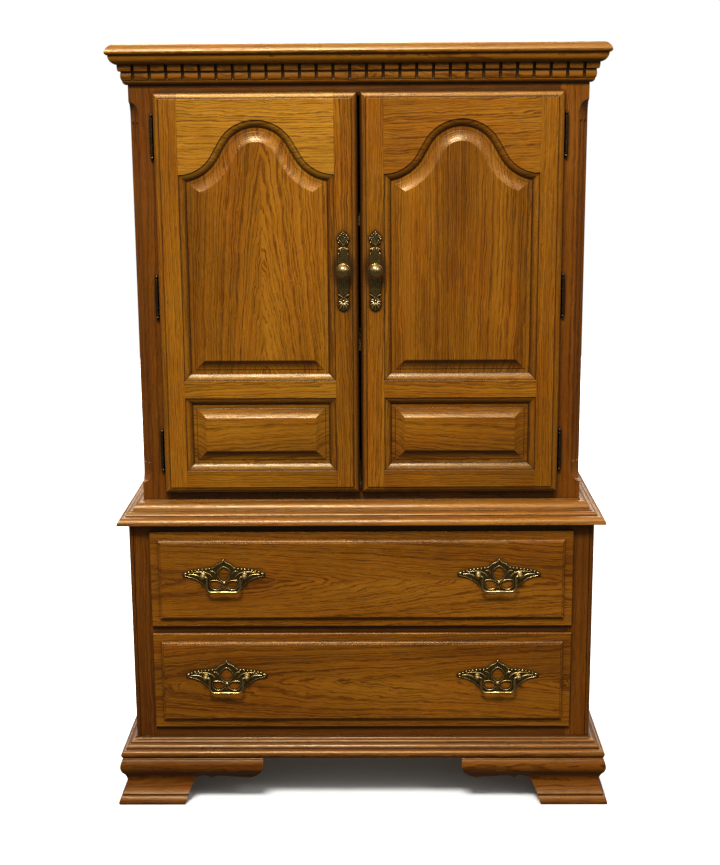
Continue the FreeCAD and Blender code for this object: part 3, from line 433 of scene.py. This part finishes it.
def smooth_line(points, closed):
    """A smooth line through these (a, b) points."""
    steps = 5
    last = len(points) - 1
    spans = len(points) if closed else last
    line = []
    for i in range(spans):
        near = range(i - 1, i + 3)
        if closed:
            ends = [points[j % len(points)] for j in near]
        else:
            ends = [points[min(max(j, 0), last)] for j in near]
        p0, p1, p2, p3 = (Vector(p) for p in ends)
        for k in range(steps):
            t = k / steps
            curve = 2 * p1 + (p2 - p0) * t + (2 * p0 - 5 * p1 + 4 * p2 - p3) * t**2
            line.append((curve + (3 * p1 - p0 - 3 * p2 + p3) * t**3) / 2)
    return line if closed else line + [Vector(points[-1])]


def add_rim(mesh, place, points, radius, closed=False, taper=1.0):
    """A half-sunk round rim along (a, b) points. taper is its last radius as a share of its first."""
    sides = 8
    line = smooth_line(points, closed)
    rings = []
    for i, point in enumerate(line):
        before = line[i - 1] if closed or i else point
        after = line[(i + 1) % len(line)] if closed or i < len(line) - 1 else point
        along = (after - before).normalized()
        wide = radius * (1 + (taper - 1) * i / len(line))
        ring = []
        for k in range(sides):
            angle = 2 * math.pi * k / sides
            across = Vector((-along.y, along.x)) * wide * math.cos(angle)
            ring.append(mesh.verts.new(place(*(point + across), wide * math.sin(angle))))
        rings.append(ring)
    pairs = list(zip(rings, rings[1:])) + ([(rings[-1], rings[0])] if closed else [])
    for a, b in pairs:
        for k in range(sides):
            mesh.faces.new((a[k], a[(k + 1) % sides], b[(k + 1) % sides], b[k]))
    if not closed:
        mesh.faces.new(rings[0])
        mesh.faces.new(reversed(rings[-1]))


def add_bead(mesh, place, a, b, long, wide=None, high=None, turn=0.0):
    """A ball or a long leaf-like drop, half sunk in the plate."""
    wide = wide or long
    high = high or wide
    ball = bmesh.ops.create_icosphere(mesh, subdivisions=2, radius=1.0)["verts"]
    for vertex in ball:
        u, v, w = vertex.co.x * long, vertex.co.y * wide, vertex.co.z * high
        u, v = u * math.cos(turn) - v * math.sin(turn), u * math.sin(turn) + v * math.cos(turn)
        vertex.co = place(a + u, b + v, w)


def on_plate(x, z, face, hand):
    """A function that takes millimetres to the right of a plate's middle, above it and out of its front face
    to a place in metres. A hand of -1 mirrors it to the left."""
    def place(a, b, out):
        return Vector((x + hand * a / 1000, face - out / 1000, z + b / 1000))

    return place


def relief_piece(name, mesh, body):
    """Ends a mesh as a smooth brass piece that rides on a body."""
    bmesh.ops.recalc_face_normals(mesh, faces=mesh.faces)
    data = bpy.data.meshes.new(name)
    mesh.to_mesh(data)
    mesh.free()
    data.materials.append(RUBBED_BRASS)
    for face in data.polygons:
        face.use_smooth = True
    piece = bpy.data.objects.new(name, data)
    bpy.context.scene.collection.objects.link(piece)
    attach(piece, body)


def add_pull_relief(mesh, x, z, face):
    """One drawer pull's relief. Its plate's middle is at x and z, and the plate's front at y = face."""
    for hand in (-1, 1):
        place = on_plate(x, z, face, hand)
        add_rim(mesh, place, [(0, 38), (4, 34.5), (8, 32), (15, 28.5), (20, 23.5), (24, 21.5)], 1.4)
        for a, b in ((29.5, 20.5), (37, 19.9), (44.5, 19), (52, 18.2), (59, 17), (66, 15.4), (73, 13.4)):
            add_bead(mesh, place, a, b, 2.3)
        add_bead(mesh, place, 80.5, 9.5, 4.2, 2.6, 2.2, -0.5)
        lower_edge = [(82, 5), (66, 1.2), (53, -5.6), (43, -13), (34, -22.5)]
        add_rim(mesh, place, lower_edge, 0.7)
        add_rim(mesh, place, [(75, 8), (62, 8), (53, 5), (48, 0)], 1.2, taper=1.8)
        add_rim(mesh, place, [(67, 12), (54, 14), (40, 13), (30, 9), (24, 2)], 0.9, taper=1.9)
        add_rim(mesh, place, [(38, -4), (36.5, -11), (33, -17)], 1.3, taper=0.6)
        add_rim(mesh, place, [(28, 16), (21, 14.5), (16.5, 9)], 0.8, taper=1.6)
        loop = [(2.4, -14.5), (6, -9), (12, -5.6), (19, -4.6), (27.4, -5.4), (29.8, -10), (29.6, -16)]
        loop += [(24.5, -22.8), (17.5, -25.2), (9, -22.8)]
        add_rim(mesh, place, loop, 1.0, closed=True)

    place = on_plate(x, z, face, 1)
    oval = [(0, 25.2), (8, 20.6), (13, 14), (13.4, 9), (12, 3), (7, -3.6), (0, -7.2)]
    oval += [(-a, b) for a, b in reversed(oval[1:-1])]
    add_rim(mesh, place, oval, 1.1, closed=True)
    add_bead(mesh, place, 0, 39, 2.2)
    add_bead(mesh, place, 0, -10.5, 3.2, 3.2, 2.6)


def pull_reliefs():
    """Each drawer's two pulls share one piece of relief."""
    crest = 0.039  # the plate's top above its middle
    for name in ("upper", "lower"):
        mesh = bmesh.new()
        plate_low, plate_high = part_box(f"{name}_drawer_pull_plates")
        for side in ("left", "right"):
            low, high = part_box(f"{name}_drawer_{side}_bail")
            add_pull_relief(mesh, (low.x + high.x) / 2, plate_high.z - crest, plate_low.y)
        relief_piece(f"{name}_drawer_pull_relief", mesh, f"{name}_drawer")


def door_plate_relief(side):
    """The leaf, the ribs and the fan of a door's long plate, in millimetres from the plate's middle."""
    tip = 0.080  # the plate's top above its middle
    low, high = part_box(f"{side}_door_pull_plate")
    x, z, face = (low.x + high.x) / 2, high.z - tip, low.y

    mesh = bmesh.new()
    fan = -59.5  # where the leaves of the fan meet
    for hand in (-1, 1):
        place = on_plate(x, z, face, hand)
        for a, b in ((3.2, 76.4), (6.4, 73), (9.6, 69), (11, 65.8), (8.8, 59.2)):
            add_bead(mesh, place, a, b, 1.5)
        add_rim(mesh, place, [(0, 53), (3.5, 58), (7.5, 64)], 0.7, taper=1.6)
        add_rim(mesh, place, [(0, 60), (2.5, 65), (4.5, 70)], 0.7, taper=1.6)
        add_rim(mesh, place, [(1, 49), (5, 47.5), (10.5, 45)], 0.8, taper=1.6)
        for a, end, radius in ((9.3, 38.5, 0.6), (5.4, 46, 0.35), (1.8, 48, 0.35)):
            add_rim(mesh, place, [(a, end), (a, end / 3), (a, -end / 3), (a, -end)], radius)
        add_rim(mesh, place, [(3, -49.5), (6, -47.5), (11, -45)], 0.8, taper=1.6)
        for turn, reach in ((0.48, 18.0), (0.98, 13.5), (1.6, 11.0)):
            a, b = 0.56 * reach * math.sin(turn), fan - 0.56 * reach * math.cos(turn)
            add_bead(mesh, place, a, b, 0.44 * reach, 2.1, 1.9, turn - math.pi / 2)
        add_rim(mesh, place, [(0.8, -50), (3.6, -54), (7.4, -55.4)], 0.9)

    place = on_plate(x, z, face, 1)
    add_bead(mesh, place, 0, 79, 1.6)
    add_bead(mesh, place, 0, -69.5, 2.2, 8.6, 2.1)
    add_bead(mesh, place, 0, -57.5, 2.4)
    add_rim(mesh, place, [(0, 50), (0, 60), (0, 76)], 0.8)
    relief_piece(f"{side}_door_plate_relief", mesh, f"{side}_door")


# --------------------------------------------------------------------------------------------------
# The stage


def make_floor():
    """A pale floor that doesn't tint the wood above it."""
    mesh = bpy.data.meshes.new("floor")
    reach = 5.5
    corners = [(-reach, -reach, 0), (reach, -reach, 0), (reach, reach, 0), (-reach, reach, 0)]
    mesh.from_pydata(corners, [], [(0, 1, 2, 3)])
    mesh.materials.append(pale_floor())
    floor = bpy.data.objects.new("floor", mesh)
    floor.visible_diffuse = False
    floor.visible_glossy = False
    bpy.context.scene.collection.objects.link(floor)


def soft_light(name, place, target, size, power):
    light = bpy.data.lights.new(name, "AREA")
    light.shape = "RECTANGLE"
    light.size, light.size_y = size
    light.energy = power
    light.color = LAMP_COLOUR
    lamp = bpy.data.objects.new(name, light)
    lamp.location = place
    lamp.rotation_euler = (Vector(place) - Vector(target)).to_track_quat("Z", "Y").to_euler()
    bpy.context.scene.collection.objects.link(lamp)


def make_lights():
    """A soft box above the camera, a weak one to its right, a wide one behind, and a room that is light
    overhead and dark below."""
    soft_light("key", (-0.5, -2.9, 4.6), (0, 0, 0.7), (1.6, 1.0), 345)
    soft_light("side", (2.6, -3.0, 3.6), (0, 0, 1.0), (0.9, 0.9), 30)
    soft_light("rear", (0.0, 5.0, 4.5), (0, 3.0, 0.0), (9.0, 4.0), 900)
    world = bpy.data.worlds.new("studio")
    world.use_nodes = True
    tree = world.node_tree
    tree.nodes.clear()
    height = add(tree, "SeparateXYZ", {"Vector": add(tree, "TexCoord").outputs["Generated"]}).outputs["Z"]
    strength = between(tree, height, 0.0, 0.9, 0.11, 1.0)
    room = add(tree, "Background", {"Color": (1.0, 0.96, 0.88, 1.0), "Strength": strength})
    backdrop = add(tree, "Background", {"Color": (1.0, 1.0, 1.0, 1.0), "Strength": 1.0})
    seen = add(tree, "LightPath").outputs["Is Camera Ray"]
    both = add(tree, "MixShader", {0: seen, 1: room.outputs[0], 2: backdrop.outputs[0]})
    add(tree, "OutputWorld", {"Surface": both.outputs[0]})
    bpy.context.scene.world = world
    bpy.context.scene.view_settings.view_transform = "Standard"


def make_camera():
    camera = bpy.data.cameras.new("camera")
    camera.lens = CAMERA_LENS
    forward = Vector((-math.sin(CAMERA_YAW), math.cos(CAMERA_YAW), -math.tan(CAMERA_PITCH))).normalized()
    level = Vector((math.cos(CAMERA_YAW), math.sin(CAMERA_YAW), 0.0))
    right = Matrix.Rotation(CAMERA_ROLL, 3, forward) @ level
    up = right.cross(forward)
    turn = Matrix((right, up, -forward)).transposed().to_4x4()
    viewer = bpy.data.objects.new("camera", camera)
    viewer.matrix_world = Matrix.Translation(CAMERA_PLACE) @ turn
    bpy.context.scene.collection.objects.link(viewer)
    bpy.context.scene.camera = viewer


make_camera()
make_lights()
make_floor()
dress_doors()
dress_drawers()
dress_cases()
dress_metal()
pull_reliefs()
door_plate_relief("left")
door_plate_relief("right")
